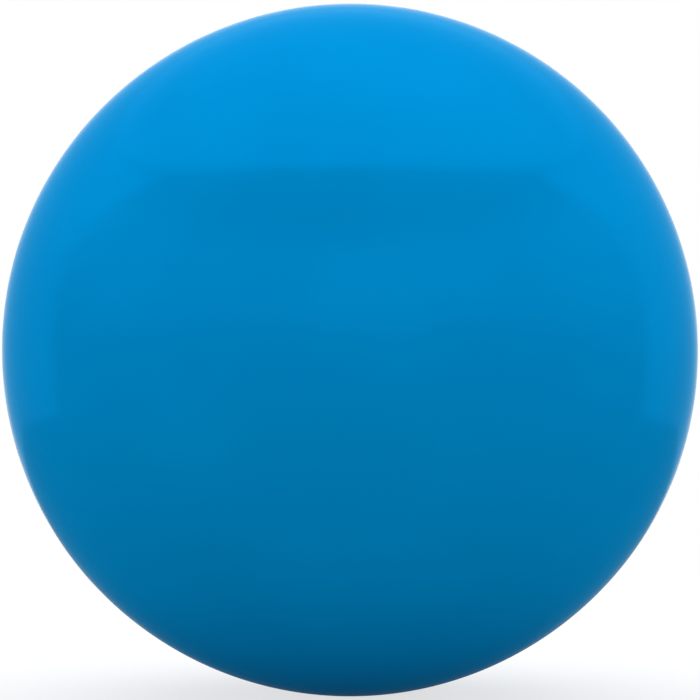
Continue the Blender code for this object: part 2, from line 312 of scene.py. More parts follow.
def joint_outline():
    """The joint face from the skin inwards: a rounded edge, the face, and the strip's recess."""
    face = JOINT_HALF_GAP
    skin = BALL_RADIUS - BUFFED_DIP
    edge = on_sphere_height(skin, face)
    above = (skin, face + BUFFED_WIDTH)
    recess_edge = on_sphere_height(RECESS_RADIUS, face)
    corner = rounded(above, edge, recess_edge, JOINT_EDGE_RADIUS)
    recess = arc(
        RECESS_RADIUS,
        elevation_height(RECESS_RADIUS, face),
        elevation_height(RECESS_RADIUS, RECESS_HALF_WIDTH),
        INNER_STEP,
    )
    return np.vstack([corner, recess])


def front_cover_outline():
    """The half with no hole, drawn with the joint below it and its pole above."""
    joint = joint_outline()
    start = elevation_at(joint[0])
    outside = cover_outside(start, QUARTER)[::-1]
    inner_start = elevation_height(COVER_INNER, RECESS_HALF_WIDTH)
    inside = arc(COVER_INNER, inner_start, QUARTER, INNER_STEP)
    return closed_at_axis(np.vstack([outside[:-1], joint, inside]))


def rear_cover_outline():
    """The half with the valve's hole, whose outer edge is rounded towards the valve's neck."""
    joint = joint_outline()
    hole = NECK_RADIUS + NECK_FIT
    start = elevation_at(joint[0])
    edge = on_sphere_across(BALL_RADIUS, hole)
    inner_edge = on_sphere_across(COVER_INNER, hole)
    skirt = on_sphere_across(BALL_RADIUS, hole + 2 * HOLE_EDGE_RADIUS)
    lip = rounded(inner_edge, edge, skirt, HOLE_EDGE_RADIUS)
    end = elevation_at(lip[-1])
    outside = cover_outside(start, end)[::-1]
    inner_start = elevation_height(COVER_INNER, RECESS_HALF_WIDTH)
    inside = arc(COVER_INNER, inner_start, elevation_across(COVER_INNER, hole), INNER_STEP)
    return np.vstack([lip, outside[1:-1], joint, inside])


def make_covers():
    """Both halves of the cover. The front one's outline is drawn over +Y and mirrored to -Y."""
    front = filled(turned(front_cover_outline(), SHELL_SEGMENTS) * np.array([1, -1, 1]))
    make_piece("front_cover", front, False, "ball", "cover_front")
    rear = filled(turned(rear_cover_outline(), SHELL_SEGMENTS))
    make_piece("rear_cover", rear, True, "ball", "cover_rear")


STRIP_EDGE_RADIUS = 0.25 * MM
STRIP_LAP_RISE = 0.12 * MM
STRIP_LAP_HALF_ANGLE = math.radians(7)
STRIP_LAP_PLACE = math.radians(200)


def make_joint_strip():
    """A band of gum rubber whose two ends lap: the outer face rises by STRIP_LAP_RISE there.

    The rise is full within 70% of STRIP_LAP_HALF_ANGLE of STRIP_LAP_PLACE, eases out over the
    rest, and fades from the band's outer face to none at its inner one.
    """
    top_outer = on_sphere_height(STRIP_RADIUS, STRIP_HALF_WIDTH)
    top_inner = on_sphere_height(COVER_INNER, STRIP_HALF_WIDTH)
    low_outer = on_sphere_height(STRIP_RADIUS, STRIP_HALF_WIDTH / 2)
    low_inner = on_sphere_height(COVER_INNER, STRIP_HALF_WIDTH / 2)
    turn_in = rounded(low_outer, top_outer, top_inner, STRIP_EDGE_RADIUS)
    turn_back = rounded(top_outer, top_inner, low_inner, STRIP_EDGE_RADIUS)
    upper = np.vstack([turn_in, turn_back])
    outer_start = elevation_at(upper[0])
    outer = arc(STRIP_RADIUS, -outer_start, outer_start, INNER_STEP)[1:-1]
    inner_end = elevation_at(upper[-1])
    inner = arc(COVER_INNER, inner_end, -inner_end, INNER_STEP)[1:-1]
    outline = np.vstack([outer, upper, inner, upper[::-1] * np.array([1, -1])])
    grid = turned(outline, SHELL_SEGMENTS)
    radius = np.linalg.norm(grid, axis=-1)
    t = np.arctan2(grid[..., 2], grid[..., 0]) % TURN
    lap = 1 - ease(0.7, 1.0, np.abs(t - STRIP_LAP_PLACE) / STRIP_LAP_HALF_ANGLE)
    outwards = ease(COVER_INNER, STRIP_RADIUS, radius)
    grid = grid * (1 + STRIP_LAP_RISE * lap * outwards / radius)[..., None]
    make_piece("joint_strip", filled(grid), True, "ball", "seam_strip")


BLADDER_HOLE = NECK_RADIUS + 0.1 * MM


def make_bladder():
    """A thin sphere, open where the valve's neck passes, with a rounded edge at that opening."""
    outer_edge = on_sphere_across(BLADDER_RADIUS, BLADDER_HOLE)
    inner_edge = on_sphere_across(BLADDER_INNER, BLADDER_HOLE)
    away_outer = on_sphere_across(BLADDER_RADIUS, BLADDER_HOLE + BLADDER_WALL)
    away_inner = on_sphere_across(BLADDER_INNER, BLADDER_HOLE + BLADDER_WALL)
    lip = np.vstack(
        [
            rounded(away_inner, inner_edge, outer_edge, BLADDER_WALL / 3),
            rounded(inner_edge, outer_edge, away_outer, BLADDER_WALL / 3),
        ]
    )
    inner = arc(BLADDER_INNER, -QUARTER, elevation_at(lip[0]), INNER_STEP)[:-1]
    outer = arc(BLADDER_RADIUS, elevation_at(lip[-1]), -QUARTER, COARSE_STEP)[1:]
    outline = closed_at_axis(np.vstack([inner, lip, outer]))
    grid = filled(turned(outline, SHELL_SEGMENTS))
    make_piece("air_bladder", grid, False, "ball", "bladder")


PATCH_TAPER = 3.2 * MM
PATCH_THIN = 0.2 * MM


def make_patch():
    """A disc whose inner face comes up to the outer one near the rim, so that its edge is thin.

    Its wall is PATCH_THIN plus the rest of PATCH_WALL eased in over PATCH_TAPER from the edge.
    """
    across = np.linspace(BLADDER_HOLE, PATCH_EDGE, 40)
    wall = PATCH_THIN + (PATCH_WALL - PATCH_THIN) * (
        1 - ease(PATCH_EDGE - PATCH_TAPER, PATCH_EDGE, across)
    )
    outer = np.column_stack([across, np.sqrt(PATCH_RADIUS**2 - across**2)])
    inner = np.column_stack([across, np.sqrt((PATCH_RADIUS - wall) ** 2 - across**2)])
    grid = filled(turned(np.vstack([outer, inner[::-1]]), SHELL_SEGMENTS))
    make_piece("valve_patch", grid, True, "ball", "bladder_patch")


RIM_EDGE_RADIUS = 0.3 * MM
SEAT_EDGE_RADIUS = 0.15 * MM
SEAT_FLOOR_RADIUS = 0.25 * MM
BORE_MOUTH_RADIUS = 0.3 * MM
FLANGE_EDGE_RADIUS = 0.4 * MM
BOSS_ROOT_RADIUS = 0.8 * MM
BOSS_EDGE_RADIUS = 0.5 * MM
POCKET_CORNER_RADIUS = 0.2 * MM


def make_valve_body():
    """Rim, neck, flange and boss in one moulding. All its corners are rounded but the neck's root.

    The flange's two faces lie on spheres about the ball's centre: height = sqrt(r^2 - across^2).
    """
    neck_root = on_sphere_across(FLANGE_RADIUS, NECK_RADIUS)
    flange_top = on_sphere_across(FLANGE_RADIUS, FLANGE_EDGE)
    flange_under = on_sphere_across(FLANGE_INNER, FLANGE_EDGE)
    boss_root = on_sphere_across(FLANGE_INNER, BOSS_RADIUS)
    upper = rounded_outline(
        [
            (SEAT_RADIUS, SEAT_HEIGHT, SEAT_FLOOR_RADIUS),
            (SEAT_RADIUS, RIM_HEIGHT, SEAT_EDGE_RADIUS),
            (NECK_RADIUS, RIM_HEIGHT, RIM_EDGE_RADIUS),
            (*neck_root, 0),
        ]
    )
    across_out = np.linspace(NECK_RADIUS, FLANGE_EDGE - FLANGE_EDGE_RADIUS, 12)[1:]
    above = np.column_stack([across_out, np.sqrt(FLANGE_RADIUS**2 - across_out**2)])
    edge = np.vstack(
        [
            rounded(above[-1], flange_top, flange_under, FLANGE_EDGE_RADIUS),
            rounded(flange_top, flange_under, boss_root, FLANGE_EDGE_RADIUS),
        ]
    )
    across_in = np.linspace(FLANGE_EDGE - FLANGE_EDGE_RADIUS, BOSS_RADIUS + BOSS_ROOT_RADIUS, 8)
    under = np.column_stack([across_in, np.sqrt(FLANGE_INNER**2 - across_in**2)])
    lower = rounded_outline(
        [
            (*under[-1], 0),
            (*boss_root, BOSS_ROOT_RADIUS / 2),
            (BOSS_RADIUS, BOSS_END, BOSS_EDGE_RADIUS),
            (LIP_RADIUS, BOSS_END, POCKET_CORNER_RADIUS),
            (LIP_RADIUS, POCKET_BASE, POCKET_CORNER_RADIUS),
            (POCKET_RADIUS, POCKET_BASE, POCKET_CORNER_RADIUS),
            (POCKET_RADIUS, POCKET_TOP, POCKET_CORNER_RADIUS),
            (BORE_RADIUS, POCKET_TOP, POCKET_CORNER_RADIUS),
            (BORE_RADIUS, SEAT_HEIGHT, BORE_MOUTH_RADIUS),
            (SEAT_RADIUS, SEAT_HEIGHT, 0),
        ]
    )[:-1]
    outline = np.vstack([upper[:-1], [neck_root], above, edge, under[1:-1], lower])
    grid = turned(outline, VALVE_SEGMENTS)
    make_piece("valve_body", grid, True, "ball", "valve_housing")


GUIDE_RADIUS = 1.1 * MM
GUIDE_DEPTH = 1.3 * MM
GUIDE_POWER = 1.3
CORE_FINE_REACH = 1.3  # out to this many times GUIDE_RADIUS the rows are fine
SLIT_HALF_WIDTH = 0.06 * MM
SLIT_HALF_LENGTH = 0.9 * MM
SLIT_DEPTH = 0.25 * MM
CORE_EDGE_RADIUS = 0.3 * MM


def make_core():
    """A soft cylinder with a funnel in each end, and a slit across the bottom of each funnel.

    A funnel's depth is GUIDE_DEPTH (1 - a / GUIDE_RADIUS)^GUIDE_POWER at the distance a from the
    axis. The slit adds SLIT_DEPTH along X, within SLIT_HALF_WIDTH of the X axis.
    """
    across = np.linspace(0, GUIDE_RADIUS * CORE_FINE_REACH, 36)
    funnel = GUIDE_DEPTH * np.clip(1 - across / GUIDE_RADIUS, 0, 1) ** GUIDE_POWER
    top = np.column_stack([across, CORE_TOP - funnel])
    base = np.column_stack([across, CORE_BASE + funnel])[::-1]
    side = rounded_outline(
        [
            (*top[-1], 0),
            (CORE_RADIUS, CORE_TOP, CORE_EDGE_RADIUS),
            (CORE_RADIUS, CORE_BASE, CORE_EDGE_RADIUS),
            (*base[0], 0),
        ]
    )
    outline = np.vstack([top[:-1], side, base[1:]])
    grid = turned(outline, VALVE_SEGMENTS)
    x, y, z = np.moveaxis(grid, -1, 0)
    slit = (1 - ease(0.5 * SLIT_HALF_WIDTH, SLIT_HALF_WIDTH, np.abs(z))) * (
        1 - ease(0.8 * SLIT_HALF_LENGTH, SLIT_HALF_LENGTH, np.abs(x))
    )
    middle = (CORE_TOP + CORE_BASE) / 2
    grid[..., 1] -= np.sign(y - middle) * SLIT_DEPTH * slit
    make_piece("self_sealing_core", grid, False, "ball", "valve_core")


HEAD_EDGE_RADIUS = 0.35 * MM
DISH_DEPTH = 0.16 * MM
DISH_START = 0.66  # share of the head's radius where the dish's slope starts, from the middle
DISH_END = 0.84
BAR_SLOPE = 0.14 * MM
BAR_CROWN = 0.06 * MM
GATE_X = 2.15 * MM
GATE_Z = 1.35 * MM
GATE_RADIUS = 0.28 * MM
GATE_HEIGHT = 0.05 * MM
HEAD_ROW_STEP = 0.045 * MM
STEM_ROW_STEP = 0.06 * MM
NOSE_STEP = math.radians(7.5)


def plug_head_top(x, z):
    """How far the head's top stands over its rim at (x, z).

    A dish of DISH_DEPTH is eased out towards the rim. A bar stands in it: with q the distance
    from the bar's middle line, it falls from its crowned top to the dish over BAR_SLOPE either
    side of half its width. The gate is a low round mark beside the bar.
    """
    across = np.hypot(x, z)
    dish = DISH_DEPTH * (ease(DISH_START * HEAD_RADIUS, DISH_END * HEAD_RADIUS, across) - 1)
    run = (BAR_LENGTH - BAR_WIDTH) / 2
    q = np.hypot(np.maximum(np.abs(x) - run, 0), z)
    half = BAR_WIDTH / 2
    rise = BAR_TOP - RIM_HEIGHT - BAR_CROWN * np.clip(q / half, 0, 1) ** 2 - dish
    bar = rise * (1 - ease(half - BAR_SLOPE, half + BAR_SLOPE, q))
    from_gate = np.hypot(x - GATE_X, z - GATE_Z)
    gate = GATE_HEIGHT * (1 - ease(0.7 * GATE_RADIUS, GATE_RADIUS, from_gate))
    return dish + bar + gate


def stem_across(height):
    """The stem's radius at a height: STEM_RADIUS, plus barbs that rise from the tip's side.

    Each barb grows over the first 60% of RIB_WIDTH, holds, and drops over the last 20%.
    """
    pitch = (HEAD_BASE - TIP_HEIGHT - STEM_RADIUS) / RIB_COUNT
    first = TIP_HEIGHT + STEM_RADIUS + (pitch - RIB_WIDTH) / 2
    s = ((height - first) % pitch) / RIB_WIDTH
    barb = ease(0.0, 0.6, s) * (1 - ease(0.8, 1.0, s))
    inside = (height > first) & (height < HEAD_BASE)
    return STEM_RADIUS + RIB_HEIGHT * barb * inside


def make_plug():
    """The plug: a dished head with a bar, a barbed stem and a round nose."""
    flat_end = HEAD_RADIUS - HEAD_EDGE_RADIUS
    across = np.linspace(0, flat_end, math.ceil(flat_end / HEAD_ROW_STEP))
    top = np.column_stack([across, np.full_like(across, RIM_HEIGHT)])
    edge = rounded_outline(
        [
            (flat_end / 2, RIM_HEIGHT, 0),
            (HEAD_RADIUS, RIM_HEIGHT, HEAD_EDGE_RADIUS),
            (HEAD_RADIUS, HEAD_BASE, HEAD_EDGE_RADIUS),
            (STEM_RADIUS, HEAD_BASE, HEAD_EDGE_RADIUS / 2),
            (STEM_RADIUS, HEAD_BASE - HEAD_EDGE_RADIUS, 0),
        ]
    )[1:]
    nose_centre = TIP_HEIGHT + STEM_RADIUS
    height = np.arange(edge[-1][1] - STEM_ROW_STEP, nose_centre, -STEM_ROW_STEP)
    stem = np.column_stack([stem_across(height), height])
    nose = arc(STEM_RADIUS, 0, -QUARTER, NOSE_STEP) + np.array([0, nose_centre])
    outline = closed_at_axis(np.vstack([top, edge[1:], stem, nose]))
    grid = turned(outline, PLUG_SEGMENTS)
    count = len(top)
    head = grid[:count]
    head[..., 1] += plug_head_top(head[..., 0], head[..., 2])
    make_piece("push_in_plug", grid, False, "plug", "valve_plug")


# ---------------------------------------------------------------- node helpers


def new_finish(name, **constants):
    """A material whose unvarying values are set on its shader's own sockets."""
    material = bpy.data.materials.new(name)
    material.use_nodes = True
    tree = material.node_tree
    shader = tree.nodes["Principled BSDF"]
    for socket, value in constants.items():
        shader.inputs[socket.replace("_", " ")].default_value = value
    return material, tree, shader


def place(tree, stretch=(1, 1, 1), turn=(0, 0, 0)):
    """The piece's own coordinates, in metres, stretched and turned for a pattern."""
    coordinates = tree.nodes.new("ShaderNodeTexCoord")
    mapping = tree.nodes.new("ShaderNodeMapping")
    mapping.inputs["Scale"].default_value = stretch
    mapping.inputs["Rotation"].default_value = turn
    tree.links.new(coordinates.outputs["Object"], mapping.inputs["Vector"])
    return mapping.outputs["Vector"]


def noise(tree, vector, size, detail=2.0, roughness=0.5):
    """Soft noise whose features are about this size across, in metres."""
    node = tree.nodes.new("ShaderNodeTexNoise")
    node.inputs["Scale"].default_value = 1 / size
    node.inputs["Detail"].default_value = detail
    node.inputs["Roughness"].default_value = roughness
    tree.links.new(vector, node.inputs["Vector"])
    return node.outputs["Fac"]


def cells(tree, vector, size):
    """Cells of this size: the distance to each cell's point, and a random colour for each."""
    node = tree.nodes.new("ShaderNodeTexVoronoi")
    node.inputs["Scale"].default_value = 1 / size
    tree.links.new(vector, node.inputs["Vector"])
    return node.outputs["Distance"], node.outputs["Color"]


def span(tree, value, low, high, to_low=0.0, to_high=1.0):
    """The value from low to high, eased and spread from to_low to to_high."""
    node = tree.nodes.new("ShaderNodeMapRange")
    node.interpolation_type = "SMOOTHSTEP"
    node.inputs["From Min"].default_value = low
    node.inputs["From Max"].default_value = high
    node.inputs["To Min"].default_value = to_low
    node.inputs["To Max"].default_value = to_high
    tree.links.new(value, node.inputs["Value"])
    return node.outputs["Result"]


def calculate(tree, operation, a, b):
    """A Math node's operation on two values, each a socket or a number."""
    node = tree.nodes.new("ShaderNodeMath")
    node.operation = operation
    for socket, value in zip(node.inputs, (a, b)):
        if isinstance(value, bpy.types.NodeSocket):
            tree.links.new(value, socket)
        else:
            socket.default_value = value
    return node.outputs[0]


def tinted(tree, factor, a, b):
    """Colour a where the factor is 0 and colour b where it is 1."""
    node = tree.nodes.new("ShaderNodeMix")
    node.data_type = "RGBA"
    for socket, value in ((node.inputs[6], a), (node.inputs[7], b)):
        if isinstance(value, bpy.types.NodeSocket):
            tree.links.new(value, socket)
        else:
            socket.default_value = (*value, 1.0)
    tree.links.new(factor, node.inputs[0])
    return node.outputs[2]


def relief(tree, height, depth, under=None):
    """A bump of this depth in metres, on top of the relief under it."""
    node = tree.nodes.new("ShaderNodeBump")
    node.inputs["Distance"].default_value = depth
    tree.links.new(height, node.inputs["Height"])
    if under is not None:
        tree.links.new(under, node.inputs["Normal"])
    return node.outputs["Normal"]


def height_of(tree):
    """The piece's own Y: how far along the valve's axis a point is."""
    coordinates = tree.nodes.new("ShaderNodeTexCoord")
    split = tree.nodes.new("ShaderNodeSeparateXYZ")
    tree.links.new(coordinates.outputs["Object"], split.inputs["Vector"])
    return split.outputs["Y"]


def finish_surface(tree, shader, color, roughness, normal):
    """Joins a finish's varying colour, roughness and relief to its shader."""
    tree.links.new(color, shader.inputs["Base Color"])
    tree.links.new(roughness, shader.inputs["Roughness"])
    tree.links.new(normal, shader.inputs["Normal"])


# ---------------------------------------------------------------- the materials

NOISE_RANGE = (0.3, 0.7)  # where most of a soft noise's values lie

COVER_BLUE = (0.0, 0.269, 0.645)
COVER_BLUE_DEEP = (0.0, 0.257, 0.62)
COVER_BUFFED = (0.004, 0.294, 0.67)
COVER_LINT = (0.42, 0.6, 0.72)
COVER_SHEEN = (0.0, 0.55, 0.6, 1.0)  # what the outline mirrors; it has no red
COVER_GLOSS = (0.13, 0.17)
HANDLED_DULLING = 0.06
BUFFED_DULLING = 0.2
BUFFED_EDGE = (0.9 * MM, 2.2 * MM)  # how far from the joint the buffing fades out
BUFFED_RAGGEDNESS = 0.9 * MM
LINT_SPACING = 5.5 * MM
LINT_SIZE = (0.008, 0.02)  # as shares of the spacing
LINT_STRENGTH = 0.55
LINT_CHOICE = (0.62, 0.66)  # which of the cells hold a speck
ORANGE_PEEL_DEPTH = 0.012 * MM
COVER_GRAIN_DEPTH = 0.0012 * MM
SCORE_DEPTH = 0.02 * MM


def tacky_rubber():
    """Smooth, glossy blue rubber with slow colour drift, fine grain, lint and hand marks.

    By the joint it was buffed: paler, duller and finely scored round the ball.
    """
    material, tree, shader = new_finish(
        "tacky_rubber", Metallic=0.13, IOR=1.016, Specular_Tint=COVER_SHEEN
    )
    even = place(tree)
    drift = noise(tree, even, 18 * MM)
    color = tinted(tree, span(tree, drift, 0.35, 0.65), COVER_BLUE_DEEP, COVER_BLUE)
    from_joint = calculate(tree, "ABSOLUTE", height_of(tree), 0.0)
    ragged = calculate(tree, "MULTIPLY", noise(tree, even, 1.5 * MM), BUFFED_RAGGEDNESS)
    buffed = span(tree, calculate(tree, "ADD", from_joint, ragged), *BUFFED_EDGE, 1.0, 0.0)
    color = tinted(tree, buffed, color, COVER_BUFFED)
    marks = noise(tree, place(tree, (1, 1, 0.22), (0.35, 0.5, 0.2)), 7 * MM, 3.0)
    handled = span(tree, marks, 0.6, 0.74)
    distance, dice = cells(tree, even, LINT_SPACING)
    speck = span(tree, distance, *LINT_SIZE, LINT_STRENGTH, 0.0)
    lint = calculate(tree, "MULTIPLY", speck, span(tree, dice, *LINT_CHOICE))
    color = tinted(tree, lint, color, COVER_LINT)
    gloss = span(tree, noise(tree, even, 2.5 * MM, 3.0), *NOISE_RANGE, *COVER_GLOSS)
    dulled = calculate(tree, "MULTIPLY", handled, HANDLED_DULLING)
    roughness = calculate(tree, "ADD", gloss, dulled)
    dulled = calculate(tree, "MULTIPLY", buffed, BUFFED_DULLING)
    roughness = calculate(tree, "ADD", roughness, dulled)
    swell = relief(tree, noise(tree, even, 6 * MM), ORANGE_PEEL_DEPTH)
    grain = relief(tree, noise(tree, even, 0.16 * MM, 3.0), COVER_GRAIN_DEPTH, swell)
    strokes = noise(tree, place(tree, (1, 22, 1)), 3 * MM, 4.0, 0.7)
    scores = calculate(tree, "MULTIPLY", strokes, buffed)
    finish_surface(tree, shader, color, roughness, relief(tree, scores, SCORE_DEPTH, grain))
    return material


GUM_BROWN_DEEP = (0.33, 0.17, 0.06)
GUM_BROWN = (0.46, 0.27, 0.11)
GUM_CHALK = (0.72, 0.68, 0.6)
CHALK_STRENGTH = 0.35


def gum_rubber():
    """Calendered gum strip: lines pressed along it, chalk and a slow change of brown."""
    material, tree, shader = new_finish("gum_rubber", IOR=1.5, Specular_IOR_Level=0.3)
    even = place(tree)
    shade = span(tree, noise(tree, even, 6 * MM, 4.0), *NOISE_RANGE)
    color = tinted(tree, shade, GUM_BROWN_DEEP, GUM_BROWN)
    dusting = noise(tree, even, 1.2 * MM, 5.0, 0.7)
    chalk = span(tree, dusting, 0.55, 0.75, 0.0, CHALK_STRENGTH)
    color = tinted(tree, chalk, color, GUM_CHALK)
    roughness = span(tree, chalk, 0.0, CHALK_STRENGTH, 0.5, 0.85)
    pressed = noise(tree, place(tree, (1, 9, 1)), 2 * MM, 2.0)
    finish_surface(tree, shader, color, roughness, relief(tree, pressed, 0.04 * MM))
    return material


BUTYL_BLACK = (0.016, 0.016, 0.018)
TALC = (0.32, 0.31, 0.29)
TALC_STRENGTH = 0.4


def butyl_rubber():
    """Black dipped rubber, dusted with talc, with the slow ripples of the dipping."""
    material, tree, shader = new_finish("butyl_rubber", IOR=1.5, Specular_IOR_Level=0.4)
    even = place(tree)
    dusting = noise(tree, even, 3.5 * MM, 6.0, 0.65)
    talc = span(tree, dusting, 0.48, 0.75, 0.0, TALC_STRENGTH)
    color = tinted(tree, talc, BUTYL_BLACK, TALC)
    roughness = span(tree, talc, 0.0, TALC_STRENGTH, 0.42, 0.9)
    ripples = relief(tree, noise(tree, place(tree, (1, 5, 1)), 14 * MM, 1.0), 0.08 * MM)
    grain = relief(tree, noise(tree, even, 0.3 * MM, 3.0), 0.006 * MM, ripples)
    finish_surface(tree, shader, color, roughness, grain)
    return material


VALVE_BLUE_DEEP = (0.004, 0.05, 0.14)
VALVE_BLUE = (0.006, 0.07, 0.18)
VALVE_RUBBED = (0.03, 0.16, 0.32)
RUBBED_EDGE = (0.02 * MM, 0.25 * MM)  # how far from the rim's face the rubbing fades out


def valve_rubber():
    """Firm dark blue moulding: satin, and rubbed paler and smoother on the rim's face."""
    material, tree, shader = new_finish("valve_rubber", IOR=1.5, Specular_IOR_Level=0.45)
    even = place(tree)
    shade = span(tree, noise(tree, even, 2 * MM, 4.0), *NOISE_RANGE)
    color = tinted(tree, shade, VALVE_BLUE_DEEP, VALVE_BLUE)
    over_rim = calculate(tree, "SUBTRACT", height_of(tree), RIM_HEIGHT)
    from_rim = calculate(tree, "ABSOLUTE", over_rim, 0.0)
    rubbed = span(tree, from_rim, *RUBBED_EDGE, 1.0, 0.0)
    patches = span(tree, noise(tree, even, 0.7 * MM, 4.0), 0.35, 0.7)
    worn = calculate(tree, "MULTIPLY", rubbed, patches)
    color = tinted(tree, calculate(tree, "MULTIPLY", worn, 0.3), color, VALVE_RUBBED)
    satin = span(tree, noise(tree, even, 0.8 * MM, 3.0), *NOISE_RANGE, 0.38, 0.52)
    roughness = calculate(tree, "SUBTRACT", satin, calculate(tree, "MULTIPLY", worn, 0.1))
    grain = relief(tree, noise(tree, even, 0.12 * MM, 3.0), 0.006 * MM)
    finish_surface(tree, shader, color, roughness, grain)
    return material


CORE_TAN_DEEP = (0.5, 0.34, 0.17)
CORE_TAN = (0.6, 0.44, 0.25)


def core_rubber():
    """Soft natural rubber: tan, a little waxy, with darker flow lines."""
    material, tree, shader = new_finish("core_rubber", IOR=1.5, Specular_IOR_Level=0.4)
    even = place(tree)
    flow = span(tree, noise(tree, place(tree, (3, 1, 3)), 1.6 * MM, 4.0), 0.35, 0.7)
    color = tinted(tree, flow, CORE_TAN_DEEP, CORE_TAN)
    roughness = span(tree, noise(tree, even, 0.6 * MM, 3.0), *NOISE_RANGE, 0.45, 0.62)
    grain = relief(tree, noise(tree, even, 0.15 * MM, 3.0), 0.008 * MM)
    finish_surface(tree, shader, color, roughness, grain)
    return material


VINYL_CLOUDED = (0.5, 0.505, 0.49)
VINYL_CLEAR = (0.6, 0.6, 0.585)
VINYL_GRIME = (0.2, 0.2, 0.2)
GRIME_STRENGTH = 0.4
GRIME_TOP = (-0.16 * MM, 0.02 * MM)  # over the rim's height, where the dish's grime fades out
GRIME_FOOT = (-0.3 * MM, -0.2 * MM)  # and where it starts, over the clean side of the head


def plug_vinyl():
    """Off-white moulded vinyl: faint cloudiness, fine scratches and grime in the dish."""
    material, tree, shader = new_finish(
        "plug_vinyl", IOR=1.5, Specular_IOR_Level=0.5, Subsurface_Weight=0.15,
        Subsurface_Scale=0.6 * MM,
    )
    even = place(tree)
    cloud = span(tree, noise(tree, even, 1.8 * MM, 3.0), *NOISE_RANGE)
    color = tinted(tree, cloud, VINYL_CLOUDED, VINYL_CLEAR)
    height = height_of(tree)
    low = span(tree, height, RIM_HEIGHT + GRIME_TOP[0], RIM_HEIGHT + GRIME_TOP[1], 1.0, 0.0)
    on_head = span(tree, height, RIM_HEIGHT + GRIME_FOOT[0], RIM_HEIGHT + GRIME_FOOT[1])
    patches = span(tree, noise(tree, even, 0.5 * MM, 5.0), 0.3, 0.75)
    grime = calculate(tree, "MULTIPLY", calculate(tree, "MULTIPLY", low, on_head), patches)
    shown = calculate(tree, "MULTIPLY", grime, GRIME_STRENGTH)
    color = tinted(tree, shown, color, VINYL_GRIME)
    scratches = noise(tree, place(tree, (1, 1, 14), (0, 0.6, 0)), 1.2 * MM, 5.0, 0.75)
    roughness = span(tree, scratches, 0.35, 0.7, 0.26, 0.4)
    finish_surface(tree, shader, color, roughness, relief(tree, scratches, 0.008 * MM))
    return material


def give_materials():
    """Puts each finish on the pieces that are made of it."""
    cover = tacky_rubber()
    butyl = butyl_rubber()
    finishes = {
        "front_cover": cover,
        "rear_cover": cover,
        "joint_strip": gum_rubber(),
        "air_bladder": butyl,
        "valve_patch": butyl,
        "valve_body": valve_rubber(),
        "self_sealing_core": core_rubber(),
        "push_in_plug": plug_vinyl(),
    }
    for name, material in finishes.items():
        bpy.data.objects[name].data.materials.append(material)


# ---------------------------------------------------------------- the studio

FLOOR_HALF_WIDTH = 0.14
FLOOR_SEEN = (0.9, 0.9, 0.9)
FLOOR_BOUNCE = (0.42, 0.42, 0.38)
FLOOR_GLOW = (0.12, 0.12, 0.11)  # keeps the ball's underside from going dark
SHADOW_SHARE = 0.3  # how much of the floor's look is its own light and shade
TOP_LIGHT_HEIGHT = 0.45
TOP_LIGHT_BACK = 0.56  # its middle, as a share of its height, behind the ball
TOP_LIGHT_RADIUS = 1.15  # as a share of its height
TOP_LIGHT_RADIANCE = 1.24
ROOM_FOOT = (0.68, 0.68, 0.68)
ROOM_WALL = (1.1, 1.1, 1.1)
ROOM_UPPER = (0.45, 0.45, 0.45)
WALL_RISE = (0.0, 0.25)  # how steeply a direction looks up where the wall brightens
UPPER_RISE = (0.45, 0.7)  # and where it dims again
BACKDROP = (1.09, 1.09, 1.09)
BACKDROP_SHINE = (1.6, 1.6, 1.6)  # what glossy surfaces mirror of it
BACKDROP_TURN = (0.33, 0.44)  # how far back a direction leans where the backdrop starts
CORNER_SLANT = 0.93  # how much the mirrored backdrop's upper corners reach forward with height
CORNER_TURN = (0.6, 0.72)
LIGHT_EDGE = (0.0, 0.04)  # how far past the top light a direction is where the backdrop starts
BACKDROP_FOOT = (-0.62, -0.1)  # how steeply a direction looks down where the backdrop dims
CAMERA_DISTANCE = 9 * BALL_RADIUS
FRAME_FILL = 348.4 / 350  # the ball's outline as a share of half the picture


